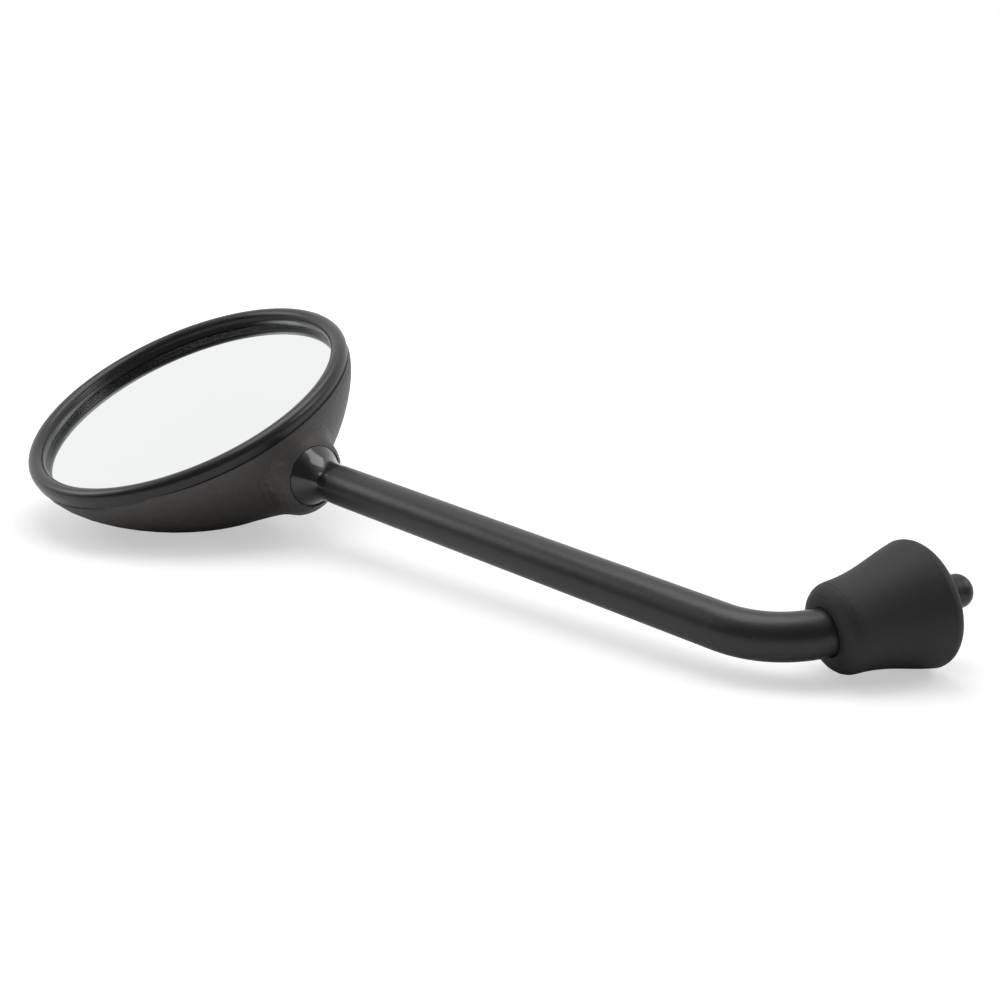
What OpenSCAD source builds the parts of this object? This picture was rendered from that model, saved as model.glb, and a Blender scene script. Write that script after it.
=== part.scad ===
// Round scooter mirror on a bent steel stem, lying on its back as it comes to rest.
// The row frame has its origin on the mounting thread, where the outer washer ends, with +Z up.

/* [Mirror head] */
// Outer diameter of the rim ring
rim_d = 109.5; // [108:0.5:116]
// Thickness of the rim ring's round bead
rim_bead = 5.3; // [5:0.1:5.6]
// How far the moulded bowl reaches behind the rim's middle plane
bowl_depth = 37.2; // [36.5:0.1:42]
// How far the middle of the bowl's underside lies towards the stem
bowl_shift = 12.2; // [10:0.2:13]
// How far the bowl's underside is drawn out to each side of its middle
bowl_draw = 8.5; // [6:0.5:10]
// Wall thickness of the bowl
bowl_wall = 2.5; // [2:0.1:3]
// Distance from the middle of the rim to the ball, towards the stem
ball_reach = 51.8; // [51.5:0.1:54]
// Distance of the ball behind the rim's middle plane
ball_depth = 17.7; // [17.6:0.1:19]
// Angle between the stem and the plane of the rim
stem_lean = 4; // [2:0.5:5]

/* [Mirror glass] */
// Diameter of the glass
glass_d = 100.6; // [99.6:0.1:100.8]
// Thickness of the glass
glass_t = 1.8; // [1.5:0.1:2]
// Depth of the edge of the glass behind the rim's middle plane
glass_inset = 2.2; // [2:0.1:2.6]
// Radius of the convex face of the glass
glass_curve = 1200; // [900:50:2000]
// Thickness of the foam pad behind the glass
pad_t = 1; // [0.8:0.1:1.2]
// Thickness of the moulded plate that carries the glass
plate_t = 1.8; // [1.6:0.1:2]

/* [Ball joint] */
// Diameter of the ball
ball_d = 19; // [18:0.25:19.2]
// Thickness of the nylon seats round the ball
seat_t = 1; // [0.8:0.1:1.1]
// Diameter of the round mouth that the neck leaves through
mouth_d = 19.4; // [18.8:0.1:19.6]
// Outer diameter of the boss round the ball
boss_d = 25.4; // [25:0.1:27]
// Diameter of the neck between the flare and the stem
neck_d = 11.8; // [10.8:0.1:11.8]
// Free length of the clamp spring as fitted
spring_len = 8; // [7:0.5:10]
// Wire diameter of the clamp spring
spring_wire = 1.4; // [1:0.1:1.6]

/* [Stem] */
// Outer diameter of the steel tube
tube_d = 12; // [11.5:0.25:12.5]
// Wall thickness of the tube
tube_wall = 1.5; // [1.2:0.1:2]
// Distance from the ball to the corner of the bend
stem_len = 170.5; // [150:0.5:190]
// Angle that the tube bends through
bend_angle = 66; // [45:1:75]
// Radius of the bend, to the middle of the tube
bend_r = 24; // [18:1:26]
// Turn of the bend's plane about the stem
bend_turn = -14; // [-30:0.5:0]

/* [Mounting end] */
// Distance from the corner of the bend to the boot
boot_start = 13; // [12.5:0.25:16]
// Length of the rubber boot
boot_len = 28.8; // [28:0.2:32]
// Diameter of the boot's flared end
boot_flare_d = 32; // [31:0.25:34]
// Diameter of the boot's narrow shoulder
boot_neck_d = 22.8; // [22.4:0.1:23.6]
// Wall thickness of the boot
boot_wall = 1.7; // [1.5:0.1:1.9]
// Diameter of the mounting thread
thread_d = 10; // [9:0.25:10]
// How far the thread stands out of the boot
thread_reach = 12.4; // [10:0.2:18]
// Width of the lock nut across its flats
nut_width = 17; // [15:0.5:17]
// Height of the lock nut
nut_h = 6; // [5:0.5:6.5]

/* [Lying pose] */
// Roll about the stem at which the head comes to rest
lie_roll = 25; // [18:0.5:32]
// Pitch that brings head and boot down to one level
lie_pitch = 3.9; // [2:0.1:8]

/* [Hidden] */
$fn = 96;
// Running clearance of the ball joint, and the gap left round soft or loose parts
slip = 0.05;
loose = 0.1;
// Length added to a cut so that it runs clear of the face it opens, and one that runs clear of the whole wall
over = 1;
clear = 20;

// Heights in the rim's frame: origin in the middle of the rim, +Z out of the glass, +X towards the stem
bead_r = rim_bead / 2;
rim_r = rim_d / 2 - bead_r;
shell_top = -0.5 * bead_r;
bowl_top = -2.5;
glass_r = glass_d / 2;
glass_sag = glass_curve - sqrt(glass_curve * glass_curve - glass_r * glass_r);
pad_z = -glass_inset - glass_t;
plate_z = pad_z - pad_t;
shelf_z = plate_z - plate_t;
shelf_t = 1.8;
pad_r = glass_r - 4.8;
plate_r = glass_r - 7.3;
tongue_r = rim_r - 0.3;
tongue_w = 0.9;
tongue_z = shell_top - 2.1;
root = 1.2;
plate_screw_ring = 30;
plate_screw_at = [70, 180, 290];
screw_d = 3;
screw_len = 9;

// Ball joint sizes in the stem's frame: origin in the ball, +X along the stem
ball_r = ball_d / 2;
seat_in = ball_r + slip;
seat_out = seat_in + seat_t;
socket_r = seat_out + slip;
mouth_r = mouth_d / 2;
mouth_x = sqrt(socket_r * socket_r - mouth_r * mouth_r);
boss_r = boss_d / 2;
boss_round = 6.5;
boss_end = mouth_x + 1.35;
boss_drop = 0.4;
boss_front = 3;
boss_back = 33;
boss_sink = 0.2;
boss_swell = 0.05;
flare_r = socket_r - 0.2;
front_arc = [70, 94];
rear_arc = [112, 180];
flare_from = 65;
flare_to = 52;
neck_r = neck_d / 2;
neck_fillet = (flare_r * sin(flare_to) - neck_r) / (1 - cos(90 - flare_to));
neck_x = flare_r * cos(flare_to) + neck_fillet * sin(90 - flare_to);
tube_x = neck_x + 2.4;
spigot_len = 18;
barrel_back = 6;
bore_r = socket_r + 0.3;
cup_r = 7.3;
cup_back = seat_out + slip + 1.7;
spring_r = 5.2;
clamp_r = 6.8;
plate_back = cup_back + spring_len;
clamp_t = 2;
clamp_screw_y = 15.5;
clamp_boss_r = 3.4;
rib_reach = 22;
rib_t = 1.8;

// The tube and the mounting end: origin in the bend's corner, +Z along the thread
tube_r = tube_d / 2;
tube_in = tube_r - tube_wall;
bend_tangent = bend_r * tan(bend_angle / 2);
bend_thin = 0.02;
bend_lap = 0.4;
tube_end = boot_start + 7.1;
collar_t = 2.4;
collar_r = tube_r + 1.6;
nut_z = tube_end + collar_t + loose;
spring_washer_t = 2.2;
washer_t = 1.8;
spring_washer_z = nut_z + nut_h + loose;
washer_z = spring_washer_z + spring_washer_t + loose;
washer_end = washer_z + washer_t;
relief_depth = 0.6;
seat_z = washer_end + 0.5;
thread_r = thread_d / 2;
thread_end = boot_start + boot_len + thread_reach;
lead_r = 0.86 * thread_r;
lead_len = 9;
lead_round = 3.4;
boot_grip = 7;

// Signed gaps to the bowl and to its boss, and the smooth join that blends them
function bowl_gap(p, inset) =
    let(
        k = max(0, bowl_top - p[2]) / (bowl_depth + bowl_top - inset),
        past = max(abs(p[0] - 0.7 - bowl_shift * pow(k, 1.5)) - bowl_draw * pow(k, 2.5), 0)
    ) 28 * (pow(norm([past, p[1]]) / (rim_d / 2 - 0.4 - inset), 1.59) + pow(k, 1.54) - 1);
function boss_gap(p) =
    let(
        along = (p[0] - ball_reach) * cos(stem_lean) - (p[2] + ball_depth) * sin(stem_lean),
        up = (p[0] - ball_reach) * sin(stem_lean) + (p[2] + ball_depth) * cos(stem_lean),
        back = max(0, boss_front - along),
        qx = max(along - boss_end, back - boss_back) + boss_round,
        qr = norm([p[1], up + boss_drop + boss_sink * back]) - boss_r - boss_swell * back + boss_round
    ) norm([max(qx, 0), max(qr, 0)]) + min(max(qx, qr), 0) - boss_round;
function blend_min(a, b, k) = let(h = max(k - abs(a - b), 0) / k) min(a, b) - h * h * k / 4;
function shell_gap(p, inset) =
    inset > 0 ? bowl_gap(p, inset)
    : -blend_min(-blend_min(bowl_gap(p, 0), boss_gap(p), 4), shell_top - p[2], 0.8);

// Distance from the core to a surface along a direction, found by halving
core = [8, 0, -11];
function reach(dir, near, far, steps, inset) =
    let(mid = (near + far) / 2)
    steps == 0 ? mid
    : shell_gap(core + mid * dir, inset) > 0 ? reach(dir, near, mid, steps - 1, inset)
    : reach(dir, mid, far, steps - 1, inset);
function aim(turn, rise) = [cos(rise) * cos(turn), cos(rise) * sin(turn), sin(rise)];

// Surface found along rays from the core: rings from the top down, closer together beside the boss
function ring_turns(count, crowd) = [for (i = [0:count - 1]) let(a = 360 * i / count) a - crowd * 180 / PI * sin(a)];
module ray_surface(count, rings, top_rise, crowd, inset) {
    turns = ring_turns(count, crowd);
    rises = [for (j = [0:rings - 1]) top_rise - (top_rise + 90) * pow(j / rings, 1.35)];
    points = concat(
        [for (e = rises, a = turns) core + reach(aim(a, e), 5, 90, 20, inset) * aim(a, e)],
        [core + reach([0, 0, -1], 5, 90, 20, inset) * [0, 0, -1]]
    );
    foot = count * rings;
    lid = [[for (i = [count - 1:-1:0]) i]];
    walls = [
        for (j = [0:rings - 2], i = [0:count - 1])
            let(a = j * count + i, b = j * count + (i + 1) % count)
            for (f = [[a, b, b + count], [a, b + count, a + count]]) f
    ];
    base = [for (i = [0:count - 1]) let(a = (rings - 1) * count) [a + i, a + (i + 1) % count, foot]];
    polyhedron(points = points, faces = concat(lid, walls, base), convexity = 4);
}

// Frames: from the rim, and from the mounting end, into the stem's frame
module at_rim() {
    translate(-ball_reach * [cos(stem_lean), 0, sin(stem_lean)] + ball_depth * [-sin(stem_lean), 0, cos(stem_lean)])
        rotate([0, -stem_lean, 0]) children();
}
module at_bend() translate([stem_len, 0, 0]) rotate([bend_turn, 0, 0]) children();
module at_end() at_bend() rotate([0, 0, bend_angle]) rotate([0, 90, 0]) children();
module along_stem() rotate([0, 90, 0]) children();

// From the stem's frame to the row frame: the thread's seat goes to the origin
function turn_x(p, a) = [p[0], p[1] * cos(a) - p[2] * sin(a), p[1] * sin(a) + p[2] * cos(a)];
seat_point = [stem_len, 0, 0] + turn_x(seat_z * [cos(bend_angle), sin(bend_angle), 0], bend_turn);
module lie() rotate([lie_roll, lie_pitch, 0]) translate(-seat_point) children();

// A disc with a round edge at its far end, from z = 0 to h
module soft_rod(r, h, edge) {
    rotate_extrude() {
        square([r - edge, h]);
        square([r, h - edge]);
        translate([r - edge, h - edge]) intersection() {
            circle(edge, $fn = 48);
            square(edge);
        }
    }
}

// Rings of section, each a square with its inner and outer radius and its two heights
module band(r_in, r_out, low, high) {
    rotate_extrude() translate([r_in, low]) square([r_out - r_in, high - low]);
}

// Where the screws stand: three through the plate, and two through the clamp plate
module at_plate_screws() for (a = plate_screw_at) rotate([0, 0, a]) translate([plate_screw_ring, 0, 0]) children();
module at_clamp_screws() for (y = [-1, 1] * clamp_screw_y) translate([0, y, 0]) children();

// Moulded bowl with the boss round the ball, the shelves for the glass and the screw posts
module housing() {
    color([0.16, 0.16, 0.165]) lie() difference() {
        at_rim() {
            difference() {
                ray_surface(80, 26, 14, 0.72, 0);
                ray_surface(48, 14, 24, 0, bowl_wall);
            }
            intersection() {
                ray_surface(48, 14, 24, 0, root);
                housing_inside();
            }
        }
        at_rim() {
            translate([0, 0, pad_z]) cylinder(r = glass_r + loose, h = clear);
            translate([0, 0, plate_z]) cylinder(r = pad_r + loose, h = clear);
            translate([0, 0, shelf_z]) cylinder(r = plate_r + loose, h = clear);
            band(tongue_r - tongue_w / 2 - slip, tongue_r + tongue_w / 2 + slip, tongue_z - 0.3, shell_top + over);
            translate([0, 0, shelf_z - screw_len - over]) at_plate_screws() cylinder(r = screw_d / 2, h = clear);
        }
        along_stem() {
            sphere(r = socket_r);
            cylinder(r = mouth_r, h = clear);
        }
        rotate([0, -90, 0]) {
            cylinder(r = bore_r, h = barrel_back + over);
            cylinder(r = cup_r + 0.3, h = plate_back + clamp_t + over);
            at_clamp_screws() translate([0, 0, plate_back - 12]) cylinder(r = screw_d / 2, h = 12 + over);
        }
    }
}

// What stands inside the bowl: the shelf under the glass, the plate's posts, and the barrel and posts of the joint
module housing_inside() {
    band(pad_r - 1, rim_r + bead_r, pad_z - shelf_t, pad_z + over);
    at_plate_screws() translate([0, 0, -bowl_depth]) cylinder(r = 3.6, h = bowl_depth + shelf_z);
    translate([ball_reach, 0, -ball_depth]) rotate([0, stem_lean, 0]) rotate([0, -90, 0]) {
        translate([0, 0, -clear]) cylinder(r = boss_r, h = barrel_back + clear);
        at_clamp_screws() {
            translate([0, 0, -clear]) cylinder(r = clamp_boss_r, h = plate_back + clear);
            translate([-rib_reach, -rib_t / 2, -clear]) cube([rib_reach, rib_t, barrel_back + 6 + clear]);
        }
    }
}

// Rim ring: a round bead on a tongue that presses into the housing's groove
module bezel() {
    color([0.10, 0.10, 0.105]) lie() at_rim() rotate_extrude($fn = 192) {
        difference() {
            translate([rim_r, 0]) circle(bead_r, $fn = 96);
            translate([rim_r - rim_bead, shell_top - rim_bead]) square([2 * rim_bead, rim_bead]);
        }
        translate([tongue_r - tongue_w / 2, tongue_z]) square([tongue_w, -tongue_z]);
    }
}

// Convex glass with parallel faces
module mirror_glass() {
    centre = glass_sag - glass_inset - glass_curve;
    color([0.80, 0.84, 0.83]) lie() at_rim() intersection() {
        translate([0, 0, pad_z]) cylinder(r = glass_r, h = glass_t + glass_sag + over, $fn = 192);
        difference() {
            translate([0, 0, centre]) sphere(r = glass_curve, $fn = 192);
            translate([0, 0, centre]) sphere(r = glass_curve - glass_t, $fn = 192);
        }
    }
}

// Foam pad cut to the back of the glass
module glass_pad() {
    color([0.25, 0.25, 0.26]) lie() at_rim() band(12, pad_r, plate_z, pad_z);
}

// Moulded plate that carries the glass, with a stiffening hub and countersunk holes
module backing_plate() {
    color([0.20, 0.20, 0.20]) lie() at_rim() difference() {
        union() {
            translate([0, 0, shelf_z]) cylinder(r = plate_r, h = plate_t);
            band(18, 20, shelf_z - 2, shelf_z);
        }
        at_plate_screws() {
            translate([0, 0, shelf_z - over]) cylinder(r = screw_d / 2 + loose, h = plate_t + 2 * over);
            translate([0, 0, plate_z - 1.6 - loose]) cylinder(r1 = screw_d / 2 + loose, r2 = screw_d + 2 * loose, h = 1.7 + loose);
        }
    }
}

// Countersunk screws through the plate
module plate_screws() {
    color([0.55, 0.55, 0.56]) lie() at_rim() at_plate_screws() {
        translate([0, 0, plate_z - 1.6 - loose]) cylinder(r1 = screw_d / 2 - loose, r2 = screw_d, h = 1.6);
        translate([0, 0, plate_z - 1.8 - screw_len]) cylinder(r = screw_d / 2 - loose, h = screw_len + 1);
    }
}

// Steel cup that the spring presses on the rear seat
module pressure_cup() {
    color([0.55, 0.56, 0.58]) lie() rotate([0, -90, 0]) difference() {
        union() {
            translate([0, 0, 6]) cylinder(r = cup_r, h = cup_back - 6);
            translate([0, 0, cup_back - 0.5]) soft_rod(3.4, 3.5, 0.8);
        }
        sphere(r = seat_out + slip);
    }
}

// Coil spring between the cup and the clamp plate, with one tube swept along a helix
module clamp_spring() {
    turns = 4.5;
    per_turn = 20;
    sides = 8;
    wire_r = spring_wire / 2;
    rise = spring_len - spring_wire - 2 * loose;
    steps = turns * per_turn;
    rings = [
        for (i = [0:steps])
            let(a = 360 * i / per_turn, z = wire_r + loose + rise * i / steps)
            [for (k = [0:sides - 1]) let(b = 360 * k / sides, r = spring_r + wire_r * cos(b)) [r * cos(a), r * sin(a), z + wire_r * sin(b)]]
    ];
    points = [for (ring = rings, p = ring) p];
    walls = [
        for (i = [0:steps - 1], k = [0:sides - 1])
            let(a = i * sides + k, b = i * sides + (k + 1) % sides)
            for (f = [[a, b + sides, b], [a, a + sides, b + sides]]) f
    ];
    color([0.62, 0.62, 0.64]) lie() rotate([0, -90, 0]) translate([0, 0, cup_back])
        polyhedron(
            points = points,
            faces = concat([[for (k = [0:sides - 1]) k]], walls, [[for (k = [sides - 1:-1:0]) steps * sides + k]]),
            convexity = 10
        );
}

// Pressed plate that holds the spring, with ears on the two screws
module clamp_plate() {
    color([0.58, 0.58, 0.60]) lie() rotate([0, -90, 0]) translate([0, 0, plate_back]) difference() {
        union() {
            linear_extrude(clamp_t) {
                circle(clamp_r);
                translate([-clamp_boss_r, -clamp_screw_y]) square([2 * clamp_boss_r, 2 * clamp_screw_y]);
                for (y = [-1, 1] * clamp_screw_y) translate([0, y]) circle(clamp_boss_r, $fn = 48);
            }
        }
        at_clamp_screws() translate([0, 0, -over]) cylinder(r = screw_d / 2 + loose, h = clamp_t + 2 * over);
    }
}

// Washers and pan-head screws that draw the clamp plate down
module clamp_washers() {
    color([0.66, 0.66, 0.67]) lie() rotate([0, -90, 0]) translate([0, 0, plate_back + clamp_t])
        at_clamp_screws() band(screw_d / 2 + loose, screw_d + 0.3, 0, 0.6);
}
module clamp_screws() {
    head_z = plate_back + clamp_t + 0.6;
    color([0.50, 0.50, 0.52]) lie() rotate([0, -90, 0]) at_clamp_screws() {
        difference() {
            translate([0, 0, head_z]) soft_rod(screw_d - 0.2, 2.2, 0.8);
            for (a = [0, 90]) rotate([0, 0, a]) translate([-1.6, -0.35, head_z + 1.2]) cube([3.2, 0.7, 2]);
        }
        translate([0, 0, head_z - 12]) cylinder(r = screw_d / 2 - loose, h = 12);
    }
}

// Nylon seats: spherical shells cut by cones about the stem, in front of and behind the ball
module seat_shell(arc) {
    rotate_extrude() intersection() {
        difference() {
            circle(seat_out, $fn = 144);
            circle(seat_in, $fn = 144);
        }
        polygon([[0, 0], for (a = [arc[0], (arc[0] + arc[1]) / 2, arc[1]]) 2 * seat_out * [sin(a), cos(a)]]);
    }
}
module front_seat() color([0.85, 0.84, 0.80]) lie() along_stem() seat_shell(front_arc);
module rear_seat() color([0.83, 0.82, 0.78]) lie() along_stem() seat_shell(rear_arc);

// Ball, flare that covers the mouth, neck and the spigot pressed into the tube
module ball_stud() {
    flare = [for (i = [0:10]) let(a = flare_from - (flare_from - flare_to) * i / 10) flare_r * [sin(a), cos(a)]];
    fillet = [
        for (i = [0:8]) let(a = (90 - flare_to) * (1 - i / 8))
            [neck_r + neck_fillet * (1 - cos(a)), neck_x - neck_fillet * sin(a)]
    ];
    color([0.06, 0.06, 0.065]) lie() along_stem() {
        sphere(r = ball_r);
        rotate_extrude() polygon(concat([[0, 0], 0.9 * ball_r * [sin(flare_from), cos(flare_from)]], flare, fillet, [[neck_r, tube_x], [0, tube_x]]));
        translate([0, 0, tube_x - over]) cylinder(r = tube_in - slip, h = spigot_len + over);
    }
}

// Bent tube with its front end rounded off; the bend draws the steel a little thinner
module tube_path(r, front, back) {
    along_stem() translate([0, 0, front]) cylinder(r = r, h = stem_len - bend_tangent + bend_lap - front);
    at_bend() translate([-bend_tangent, bend_r, 0]) rotate([0, 0, -90])
        rotate_extrude(angle = bend_angle) translate([bend_r, 0]) circle(r - bend_thin);
    at_end() translate([0, 0, bend_tangent - bend_lap]) cylinder(r = r, h = back - bend_tangent + bend_lap);
}
module stem_tube() {
    color([0.09, 0.09, 0.095]) lie() difference() {
        union() {
            tube_path(tube_r, tube_x + 1, tube_end);
            along_stem() translate([0, 0, tube_x]) mirror([0, 0, 1]) translate([0, 0, -2]) soft_rod(tube_r, 2, 0.3);
        }
        tube_path(tube_in, tube_x - over, tube_end + over);
    }
}

// Threaded stud with its collar, its spigot in the tube, a relief groove at the washer and a thin lead end with a domed tip
module mount_stud() {
    color([0.10, 0.10, 0.105]) lie() at_end() difference() {
        union() {
            translate([0, 0, tube_end - 4.5]) cylinder(r = tube_in - slip, h = 4.5 + over);
            translate([0, 0, tube_end + slip]) cylinder(r = collar_r, h = collar_t - slip);
            translate([0, 0, tube_end]) soft_rod(thread_r, thread_end - lead_len - tube_end, thread_r - lead_r);
            translate([0, 0, tube_end]) soft_rod(lead_r, thread_end - tube_end, lead_round);
        }
        band(thread_r - relief_depth, thread_r + over, washer_z, seat_z);
    }
}

// Hexagon lock nut with chamfered corners
module lock_nut() {
    across = nut_width / cos(30);
    color([0.45, 0.44, 0.40]) lie() at_end() translate([0, 0, nut_z]) difference() {
        intersection() {
            cylinder(d = across, h = nut_h, $fn = 6);
            union() {
                translate([0, 0, -over]) cylinder(d1 = nut_width - 1 - 2 * over, d2 = across + 2, h = (across + 3 + over - nut_width) / 2);
                translate([0, 0, (across + 3 - over - nut_width) / 2]) cylinder(d = across + 2, h = nut_h);
            }
            translate([0, 0, nut_h + over]) mirror([0, 0, 1]) union() {
                cylinder(d1 = nut_width - 1 - 2 * over, d2 = across + 2, h = (across + 3 + over - nut_width) / 2);
                translate([0, 0, (across + 3 + over - nut_width) / 2]) cylinder(d = across + 2, h = nut_h + over);
            }
        }
        translate([0, 0, -over]) cylinder(r = thread_r + slip, h = nut_h + 2 * over);
    }
}

// Split spring washer and plain washer outside the nut
module spring_washer() {
    color([0.52, 0.52, 0.54]) lie() at_end() translate([0, 0, spring_washer_z]) difference() {
        band(thread_r + loose, thread_r + 3.6, 0, spring_washer_t);
        rotate([20, 0, 0]) translate([0, -0.6, -4]) cube([20, 1.2, 12]);
    }
}
module plain_washer() {
    color([0.60, 0.60, 0.62]) lie() at_end() band(thread_r + loose, thread_r + 4.6, washer_z, washer_end);
}

// Rubber boot: a bell whose flank is one smooth curve from the shoulder to the flare
function bezier(p, t) =
    pow(1 - t, 3) * p[0] + 3 * t * pow(1 - t, 2) * p[1] + 3 * t * t * (1 - t) * p[2] + t * t * t * p[3];
module rubber_boot() {
    shoulder = 4.4;
    lip = 3;
    neck_r = boot_neck_d / 2;
    flare_r = boot_flare_d / 2;
    flank = [[neck_r, shoulder], [neck_r + 0.2, 0.45 * boot_len], [flare_r - 1.4, 0.66 * boot_len], [flare_r, boot_len - lip]];
    outside = concat(
        [for (a = [0:15:75]) [neck_r - shoulder + shoulder * sin(a), shoulder - shoulder * cos(a)]],
        [for (i = [0:12]) bezier(flank, i / 12)],
        [for (a = [15:15:90]) [flare_r - lip + lip * cos(a), boot_len - lip + lip * sin(a)]]
    );
    inside = concat(
        [[flare_r - lip - 0.4, boot_len]],
        [for (i = [10:-1:3]) bezier(flank, i / 12) - [boot_wall, 0]],
        [[neck_r - boot_wall, boot_grip + 1.5], [neck_r - boot_wall - 1.5, boot_grip], [tube_r + 2 * loose, boot_grip], [tube_r + 2 * loose, 0]]
    );
    color([0.13, 0.13, 0.13]) lie() at_end() translate([0, 0, boot_start]) rotate_extrude() polygon(concat(outside, inside));
}

housing();
bezel();
mirror_glass();
glass_pad();
backing_plate();
plate_screws();
pressure_cup();
clamp_spring();
clamp_plate();
clamp_washers();
clamp_screws();
front_seat();
rear_seat();
ball_stud();
stem_tube();
mount_stud();
lock_nut();
spring_washer();
plain_washer();
rubber_boot();
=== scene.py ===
"""A round scooter mirror on a bent black stem, lying on its back on a pale table."""
import math
import bpy
from mathutils import Euler, Matrix, Vector


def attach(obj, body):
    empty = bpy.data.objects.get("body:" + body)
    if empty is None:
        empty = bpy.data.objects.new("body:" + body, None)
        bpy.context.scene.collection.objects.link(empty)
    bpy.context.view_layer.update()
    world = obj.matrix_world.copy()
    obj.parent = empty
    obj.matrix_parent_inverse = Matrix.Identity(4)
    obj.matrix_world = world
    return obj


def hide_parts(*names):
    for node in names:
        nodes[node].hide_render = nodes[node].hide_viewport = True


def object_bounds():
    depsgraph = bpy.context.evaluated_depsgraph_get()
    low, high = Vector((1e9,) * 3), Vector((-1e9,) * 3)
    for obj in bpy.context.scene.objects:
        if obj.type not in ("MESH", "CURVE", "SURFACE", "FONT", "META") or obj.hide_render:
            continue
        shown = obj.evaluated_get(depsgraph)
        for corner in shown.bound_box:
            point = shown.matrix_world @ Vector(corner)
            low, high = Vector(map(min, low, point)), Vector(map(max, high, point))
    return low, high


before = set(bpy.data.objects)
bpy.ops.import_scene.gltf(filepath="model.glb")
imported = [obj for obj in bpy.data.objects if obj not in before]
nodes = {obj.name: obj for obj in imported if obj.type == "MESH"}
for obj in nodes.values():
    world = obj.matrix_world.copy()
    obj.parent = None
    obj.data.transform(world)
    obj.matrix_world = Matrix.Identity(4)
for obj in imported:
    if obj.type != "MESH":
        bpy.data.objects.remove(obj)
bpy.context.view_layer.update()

scene = bpy.context.scene
scene.view_settings.view_transform = "Standard"


# Housing: the deep bowl that carries everything, injection moulded in one piece with its boss.
# It is dark ABS with a finely spark-eroded satin surface, a little warmer than the black parts round it.
class Wire:
    """A node's output in a material, or a new material, and the sums that can be made with it."""

    def __init__(self, tree, socket=None):
        self.tree, self.socket = tree, socket

    def plug(self, target, value):
        if isinstance(value, Wire):
            self.tree.links.new(value.socket, target)
        elif target.type == "RGBA" and len(value) == 3:
            target.default_value = (*value, 1)
        else:
            target.default_value = value

    def node(self, kind, inputs=(), out=0, **settings):
        made = self.tree.nodes.new("ShaderNode" + kind)
        for name, value in settings.items():
            setattr(made, name, value)
        for name, value in dict(inputs).items():
            self.plug(made.inputs[name], value)
        return Wire(self.tree, made.outputs[out])

    def math(self, operation, *values):
        made = self.tree.nodes.new("ShaderNodeMath")
        made.operation = operation
        for target, value in zip(made.inputs, values):
            self.plug(target, value)
        return Wire(self.tree, made.outputs[0])

    def __add__(self, other):
        return self.math("ADD", self, other)

    def __sub__(self, other):
        return self.math("SUBTRACT", self, other)

    def __rsub__(self, other):
        return self.math("SUBTRACT", other, self)

    def __mul__(self, other):
        return self.math("MULTIPLY", self, other)

    def __truediv__(self, other):
        return self.math("DIVIDE", self, other)

    __radd__, __rmul__ = __add__, __mul__

    def clamped(self):
        return self.math("MINIMUM", self.math("MAXIMUM", self, 0.0), 1.0)

    def step(self, start, end):
        return ((self - start) / (end - start)).clamped()

    def blend(self, first, second):
        return self.node("Mix", {0: self, 6: first, 7: second}, out=2, data_type="RGBA")

    def noise(self, scale, detail=2.0, stretch=(1, 1, 1)):
        place = self.node("TexCoord", out="Object")
        if stretch != (1, 1, 1):
            place = self.node("VectorMath", {0: place, 1: stretch}, operation="MULTIPLY")
        return self.node("TexNoise", {"Vector": place, "Scale": scale, "Detail": detail}, out="Fac")

    def bump(self, height, depth):
        return self.node("Bump", {"Height": height, "Distance": depth, "Strength": 1.0})


def material(name, wire_of, **fixed):
    """A material whose Principled inputs are fixed values, and wires that wire_of(root) returns."""
    made = bpy.data.materials.new(name)
    made.use_nodes = True
    root = Wire(made.node_tree)
    shader = made.node_tree.nodes["Principled BSDF"]
    for key, value in {**fixed, **wire_of(root)}.items():
        root.plug(shader.inputs[key.replace("_", " ")], value)
    return made


def dress(node, paint, angle=32):
    """Gives a node of the frame its material, and smooth shading up to an angle in degrees."""
    piece = nodes[node]
    piece.data.materials.clear()
    piece.data.materials.append(paint)
    bpy.ops.object.select_all(action="DESELECT")
    piece.select_set(True)
    bpy.context.view_layer.objects.active = piece
    bpy.ops.object.shade_smooth_by_angle(angle=math.radians(angle))


def housing_wires(m):
    cloud, grain = m.noise(28.0, 3.0), m.noise(2600.0, 2.0)
    return {
        "Base Color": cloud.step(0.3, 0.7).blend((0.034, 0.031, 0.029), (0.041, 0.038, 0.036)),
        "Roughness": 0.40 + 0.10 * cloud,
        "Normal": m.bump(grain, 0.00006),
    }


dress("housing", material("satin_housing_plastic", housing_wires), angle=28)


# Bezel: the round ring that frames the glass, moulded in black plastic and pressed into the housing's groove.
# Its bead runs out into a short skirt, outside over the housing's edge and inside down to the glass.
# It is smoother than the housing, with a soft gloss. Its sizes are millimetres in the rim's own frame.
MM = 0.001
lie_roll, lie_pitch = math.radians(25), math.radians(3.9)
bend_turn, bend_angle = math.radians(-14), math.radians(66)
stem_len, thread_seat = 170.5, 33.3
thread_way = Matrix.Rotation(bend_turn, 3, "X") @ Vector((math.cos(bend_angle), math.sin(bend_angle), 0))
stem_to_row = (
    Matrix.Rotation(lie_pitch, 4, "Y")
    @ Matrix.Rotation(lie_roll, 4, "X")
    @ Matrix.Translation(-Vector((stem_len, 0, 0)) - thread_seat * thread_way)
)
stem_lean, ball_reach, ball_depth = math.radians(4), 51.8, 17.7
rim_to_row = (
    stem_to_row
    @ Matrix.Rotation(-stem_lean, 4, "Y")
    @ Matrix.Translation((-ball_reach, 0, ball_depth))
)


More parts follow.
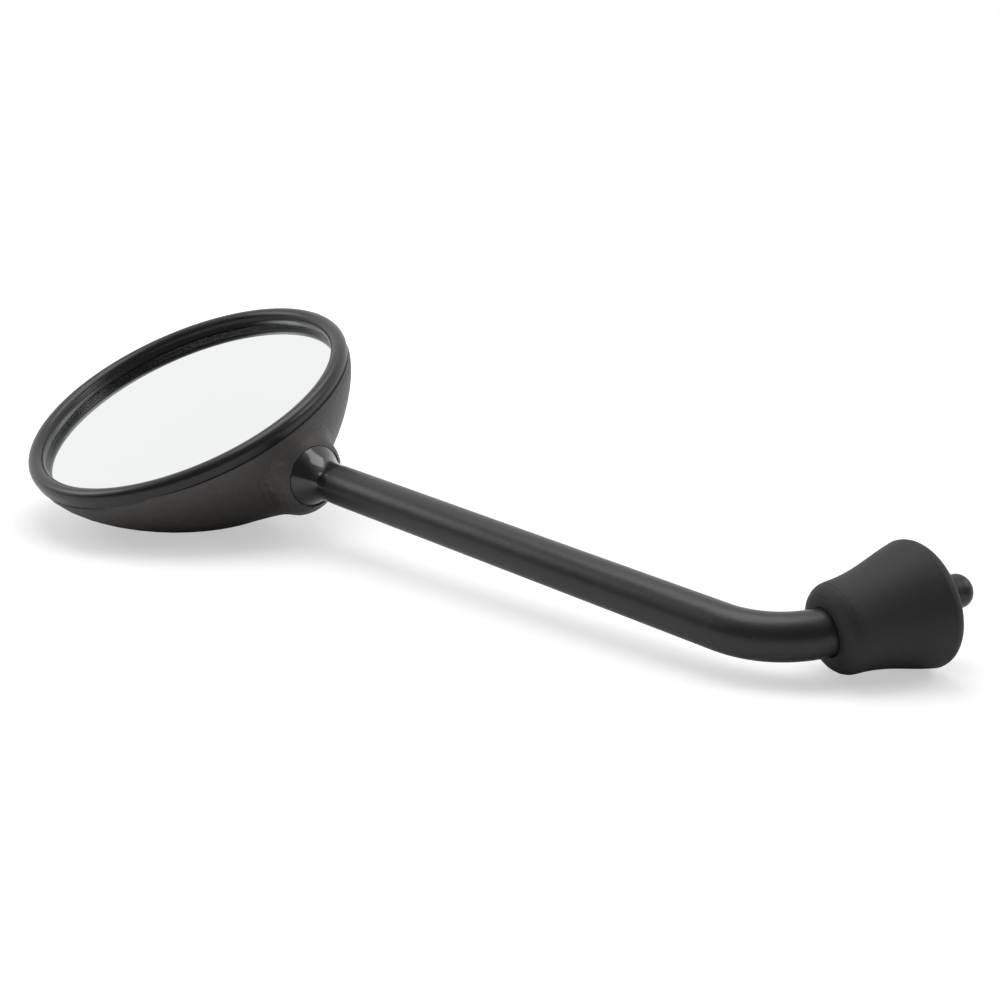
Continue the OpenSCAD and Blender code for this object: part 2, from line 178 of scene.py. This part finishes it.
def lathe(name, profile, place, paint, closed=True):
    """A profile of (radius, height) points spun round its axis, then set in its place in the row."""
    segments, smooth_angle = 192, math.radians(40)
    points = [(radius, 0, height) for radius, height in profile]
    count = len(points)
    edges = [(i, (i + 1) % count) for i in range(count if closed else count - 1)]
    mesh = bpy.data.meshes.new(name)
    mesh.from_pydata(points, edges, [])
    piece = bpy.data.objects.new(name, mesh)
    scene.collection.objects.link(piece)
    bpy.ops.object.select_all(action="DESELECT")
    piece.select_set(True)
    bpy.context.view_layer.objects.active = piece
    bpy.ops.object.mode_set(mode="EDIT")
    bpy.ops.mesh.select_all(action="SELECT")
    bpy.ops.mesh.spin(steps=segments, angle=math.tau, center=(0, 0, 0), axis=(0, 0, 1))
    bpy.ops.mesh.select_all(action="SELECT")
    bpy.ops.mesh.remove_doubles(threshold=0.001)
    bpy.ops.mesh.normals_make_consistent(inside=False)
    bpy.ops.object.mode_set(mode="OBJECT")
    mesh.transform(Matrix.Diagonal((MM, MM, MM, 1)) @ place)
    mesh.materials.append(paint)
    bpy.ops.object.shade_smooth_by_angle(angle=smooth_angle)
    return piece


def bezel_wires(m):
    cloud, grain = m.noise(45.0, 2.0), m.noise(1900.0, 2.0)
    return {
        "Base Color": cloud.step(0.3, 0.7).blend((0.008, 0.008, 0.0085), (0.012, 0.012, 0.0125)),
        "Roughness": 0.25 + 0.07 * cloud,
        "Normal": m.bump(grain, 0.000006),
    }


rim_r, bead_r = 52.1, 2.65
bead = [
    (rim_r + bead_r * math.cos(math.radians(a)), bead_r * math.sin(math.radians(a)))
    for a in range(-12, 204, 6)
]
skirt = [
    (49.76, -1.5), (49.84, -2.02), (50.0, -2.16), (50.3, -2.1),
    (53.4, -2.1), (54.25, -2.5), (54.44, -2.4), (54.52, -1.9), (54.6, -1.2),
]
ring_paint = material("black_bezel_plastic", bezel_wires, Specular_IOR_Level=0.42)
ring = lathe("bezel_ring", bead + skirt, rim_to_row, ring_paint)
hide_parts("bezel")
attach(ring, "head")


# Mirror glass: a disc cut from convex silvered glass, cemented to its foam pad.
# Its face mirrors the room, with the faint green of float glass.
def glass_wires(m):
    smear = m.noise(22.0, 3.0).step(0.45, 0.75)
    return {
        "Base Color": smear.blend((0.875, 0.895, 0.885), (0.865, 0.885, 0.875)),
        "Roughness": 0.012 + 0.018 * smear,
    }


dress("mirror_glass", material("silvered_glass", glass_wires, Metallic=1.0))


# Glass pad: closed-cell foam with adhesive on both faces, die-cut, hidden behind the glass.
def pad_wires(m):
    cells = m.node("TexVoronoi", {"Vector": m.node("TexCoord", out="Object"), "Scale": 2200.0})
    return {
        "Base Color": cells.step(0.1, 0.7).blend((0.05, 0.05, 0.052), (0.10, 0.10, 0.104)),
        "Normal": m.bump(cells, 0.0001),
    }


dress("glass_pad", material("grey_foam", pad_wires, Roughness=0.95))


# Backing plate: plain moulded plastic disc that carries the glass, screwed to three posts of the housing.
def plate_wires(m):
    grain = m.noise(1500.0, 2.0)
    return {
        "Base Color": m.noise(30.0).blend((0.045, 0.045, 0.047), (0.06, 0.06, 0.062)),
        "Roughness": 0.5 + 0.15 * grain,
        "Normal": m.bump(grain, 0.00004),
    }


dress("backing_plate", material("plain_black_plastic", plate_wires))


# Zinc plated steel: the plate screws, the pressed cup and clamp plate, the small screws and the washers.
def zinc_wires(m):
    cloud, scratch = m.noise(160.0, 4.0), m.noise(700.0, 3.0, (1, 1, 9))
    return {
        "Base Color": cloud.step(0.35, 0.7).blend((0.52, 0.53, 0.55), (0.66, 0.66, 0.67)),
        "Roughness": 0.26 + 0.16 * scratch,
        "Normal": m.bump(scratch, 0.00002),
    }


zinc = material("zinc_plated_steel", zinc_wires, Metallic=1.0)
for part in (
    "plate_screws", "pressure_cup", "clamp_plate", "clamp_washers",
    "clamp_screws", "spring_washer", "plain_washer",
):
    dress(part, zinc)


# Clamp spring: coiled from bare spring steel wire, drawn lengthwise, with ground ends.
def spring_wires(m):
    drawn = m.noise(900.0, 3.0)
    return {
        "Base Color": drawn.blend((0.30, 0.30, 0.31), (0.42, 0.42, 0.44)),
        "Roughness": 0.3 + 0.2 * drawn,
    }


dress("clamp_spring", material("spring_steel", spring_wires, Metallic=1.0), angle=60)


# Seats: two cups of natural nylon round the ball, moulded, smooth and a little translucent.
def nylon_wires(m):
    cloud = m.noise(200.0, 3.0)
    return {
        "Base Color": cloud.blend((0.66, 0.64, 0.58), (0.74, 0.72, 0.67)),
        "Roughness": 0.32 + 0.12 * cloud,
    }


nylon = material("natural_nylon", nylon_wires)
dress("front_seat", nylon)
dress("rear_seat", nylon)


# Ball stud: turned steel ball, flare and neck in one piece, coated in gloss black.
# Its spigot is pressed into the tube. The flare is one concave curve, in millimetres along the stem.
def stud_wires(m):
    cloud, flow = m.noise(60.0, 3.0), m.noise(420.0, 1.0)
    return {
        "Base Color": cloud.blend((0.006, 0.006, 0.0063), (0.009, 0.009, 0.0095)),
        "Roughness": 0.13 + 0.08 * cloud,
        "Coat Weight": 0.3 + 0.2 * cloud,
        "Normal": m.bump(flow, 0.00003),
    }


def on_circle(radius, start, end, count):
    """Points of a circle about the ball, by their angle from the stem in degrees."""
    turns = [math.radians(start + (end - start) * i / count) for i in range(count + 1)]
    return [(radius * math.sin(a), radius * math.cos(a)) for a in turns]


def flare_point(t):
    """A point of the flare's curve, from its edge (t = 0) to the neck (t = 1)."""
    edge, neck = Vector((9.43, 4.4)), Vector((5.96, 13.4))
    bulge, waist = Vector((8.3, 6.2)), Vector((6.0, 9.0))
    ends = (1 - t) ** 3 * edge + t ** 3 * neck
    return tuple(ends + 3 * t * (1 - t) ** 2 * bulge + 3 * t * t * (1 - t) * waist)


ball_r, neck_r, spigot_r = 9.5, 5.96, 4.45
tube_start, spigot_end = 15.7, 33.4
ball = on_circle(ball_r, 180, 67, 40)
flare = [flare_point(i / 16) for i in range(17)]
spigot = [(neck_r, tube_start), (spigot_r, tube_start), (spigot_r, spigot_end), (0, spigot_end)]
stud_to_row = stem_to_row @ Matrix.Rotation(math.radians(90), 4, "Y")
stud_paint = material("gloss_black_coating", stud_wires, Coat_Roughness=0.08)
stud = lathe("ball_and_flare", ball + flare + spigot, stud_to_row, stud_paint, closed=False)
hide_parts("ball_stud")
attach(stud, "stem")


# Stem tube: drawn steel tube, bent once near the mounting end, powder coated in satin black.
def stem_wires(m):
    cloud, peel = m.noise(35.0, 3.0), m.noise(750.0, 2.0)
    return {
        "Base Color": cloud.step(0.3, 0.7).blend((0.010, 0.010, 0.0104), (0.015, 0.015, 0.0155)),
        "Roughness": 0.30 + 0.09 * cloud,
        "Normal": m.bump(peel, 0.00005),
    }


dress("stem_tube", material("satin_black_powder_coat", stem_wires, Specular_IOR_Level=0.42), angle=40)


# Mount stud: the threaded end, turned with a collar and a thinner domed lead, black zinc plated.
def black_zinc_wires(m):
    cloud = m.noise(300.0, 4.0)
    return {
        "Base Color": cloud.step(0.35, 0.7).blend((0.022, 0.022, 0.024), (0.045, 0.045, 0.048)),
        "Metallic": 0.55 + 0.2 * cloud,
        "Roughness": 0.33 + 0.14 * cloud,
    }


dress("mount_stud", material("black_zinc_plating", black_zinc_wires), angle=40)


# Lock nut: a hexagon nut with chamfered corners, dull yellow zinc plated, hidden by the boot.
def nut_wires(m):
    tint = m.noise(180.0, 4.0)
    return {
        "Base Color": tint.step(0.35, 0.65).blend((0.42, 0.36, 0.24), (0.52, 0.46, 0.33)),
        "Roughness": 0.32 + 0.14 * tint,
    }


dress("lock_nut", material("yellow_zinc_plating", nut_wires, Metallic=1.0))


# Rubber boot: moulded black rubber that slips over the stem and covers the nut.
# Its surface is matt and a little bloomed.
def boot_wires(m):
    bloom, grain = m.noise(32.0, 4.0), m.noise(1300.0, 3.0)
    return {
        "Base Color": bloom.step(0.35, 0.75).blend((0.0095, 0.0098, 0.0102), (0.0150, 0.0153, 0.0158)),
        "Roughness": 0.56 + 0.14 * bloom,
        "Normal": m.bump(grain, 0.00009),
    }


dress("rubber_boot", material("matt_black_rubber", boot_wires, Specular_IOR_Level=0.4), angle=40)


# Table: a plain white sheet that takes the soft shadow near the mirror.
# Away from the mirror it is plain white to the camera.
table_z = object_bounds()[0].z
bpy.ops.mesh.primitive_plane_add(size=30, location=(0, 0, table_z))
table = bpy.context.object
table.name = "table"
paper = bpy.data.materials.new("white_table")
paper.use_nodes = True
sheet = Wire(paper.node_tree)
seen = sheet.node("LightPath", out="Is Camera Ray")
place = sheet.node("TexCoord", out="Object")
spot = sheet.node("VectorMath", {0: place, 1: (0.12, 0.02, 0)}, operation="ADD")
away = sheet.node("VectorMath", {0: spot}, operation="LENGTH", out="Value").step(0.19, 0.36)
glow = sheet.node("Emission", {"Color": (1, 1, 1), "Strength": 1.35})
matt = sheet.node("BsdfDiffuse", {"Color": (0.86, 0.86, 0.86)})
paper.node_tree.nodes.remove(paper.node_tree.nodes["Principled BSDF"])
lit = sheet.node("MixShader", {0: seen * (0.37 + 0.63 * away), 1: matt, 2: glow})
sheet.plug(paper.node_tree.nodes["Material Output"].inputs["Surface"], lit)
table.data.materials.append(paper)

# Room: white behind the table, darker behind the camera, and plain white to the camera
world = bpy.data.worlds.new("studio")
scene.world = world
world.use_nodes = True
air = Wire(world.node_tree)
way = air.node("TexCoord", out="Generated")
ahead = air.node("VectorMath", {0: way, 1: (-0.62, 0.66, 0.42)}, operation="DOT_PRODUCT", out="Value")
path = world.node_tree.nodes.new("ShaderNodeLightPath")
camera_ray = Wire(world.node_tree, path.outputs["Is Camera Ray"])
room = 0.16 + 0.84 * ahead.step(-0.25, 0.45)
strength = room + (1.0 - room) * camera_ray
background = world.node_tree.nodes["Background"]
background.inputs["Color"].default_value = (1, 1, 1, 1)
air.plug(background.inputs["Strength"], strength)

# Lamps: a large soft box overhead, and a smaller one to each side
middle = Vector((-0.13, -0.03, 0.02))
for name, spot, size, power in (
    ("overhead", (-0.10, 0.05, 0.75), 0.55, 2.6),
    ("left", (-0.62, -0.42, 0.42), 0.35, 1.1),
    ("right", (0.45, 0.35, 0.40), 0.30, 0.8),
):
    lamp = bpy.data.lights.new(name, "AREA")
    lamp.shape, lamp.size, lamp.energy = "SQUARE", size, power
    holder = bpy.data.objects.new(name, lamp)
    scene.collection.objects.link(holder)
    holder.location = middle + Vector(spot)
    holder.rotation_euler = (-Vector(spot)).to_track_quat("-Z", "Y").to_euler()

# Camera: low in front of the stem, at the photograph's angle
view = bpy.data.cameras.new("camera")
view.lens, view.sensor_width = 52.2, 36
camera = bpy.data.objects.new("camera", view)
camera.location = (0.15508, -0.30314, 0.11825)
camera.rotation_euler = Euler(tuple(map(math.radians, (74.434, -0.082, 43.29))))
scene.collection.objects.link(camera)
scene.camera = camera
